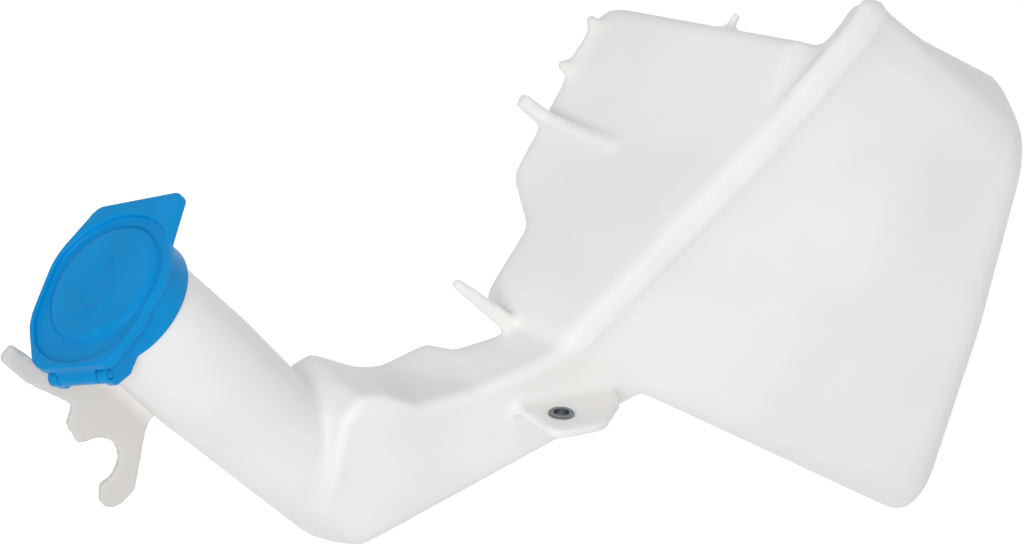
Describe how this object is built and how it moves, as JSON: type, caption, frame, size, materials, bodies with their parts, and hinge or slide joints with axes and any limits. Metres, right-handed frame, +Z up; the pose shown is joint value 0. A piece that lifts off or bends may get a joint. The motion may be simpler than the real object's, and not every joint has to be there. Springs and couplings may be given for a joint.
{
  "type": "washer fluid reservoir",
  "caption": "Blow-moulded washer fluid tank with a tall filler neck, a sloping duct, a hinged flip cap, a bolted tab and a pipe hook.",
  "frame": {"origin": "centre of the filler mouth, in the plane of the neck's rim", "axes": "+Z up along the neck, +X from the neck towards the tank, +Y away from the bolted tab's side"},
  "size_m": [0.3826, 0.1437, 0.3746],
  "materials": {
    "natural_hdpe": "satin, translucent natural polyethylene",
    "zinc_steel": "zinc plated",
    "blue_pp": "moulded satin gloss"
  },
  "bodies": {
    "reservoir": {"tank_shell": "natural_hdpe", "bolt_tab": "natural_hdpe", "pipe_hook": "natural_hdpe", "mount_bush": "zinc_steel", "cap_collar": "blue_pp"},
    "lid": {"cap_lid": "blue_pp"}
  },
  "joints": [
    {"name": "lid_hinge", "type": "hinge", "parent": "reservoir", "child": "lid", "pos_m": [-0.03435, -0.02146, -0.0016], "axis": [0.5299, -0.848, 0], "range_deg": [0, 115]}
  ]
}
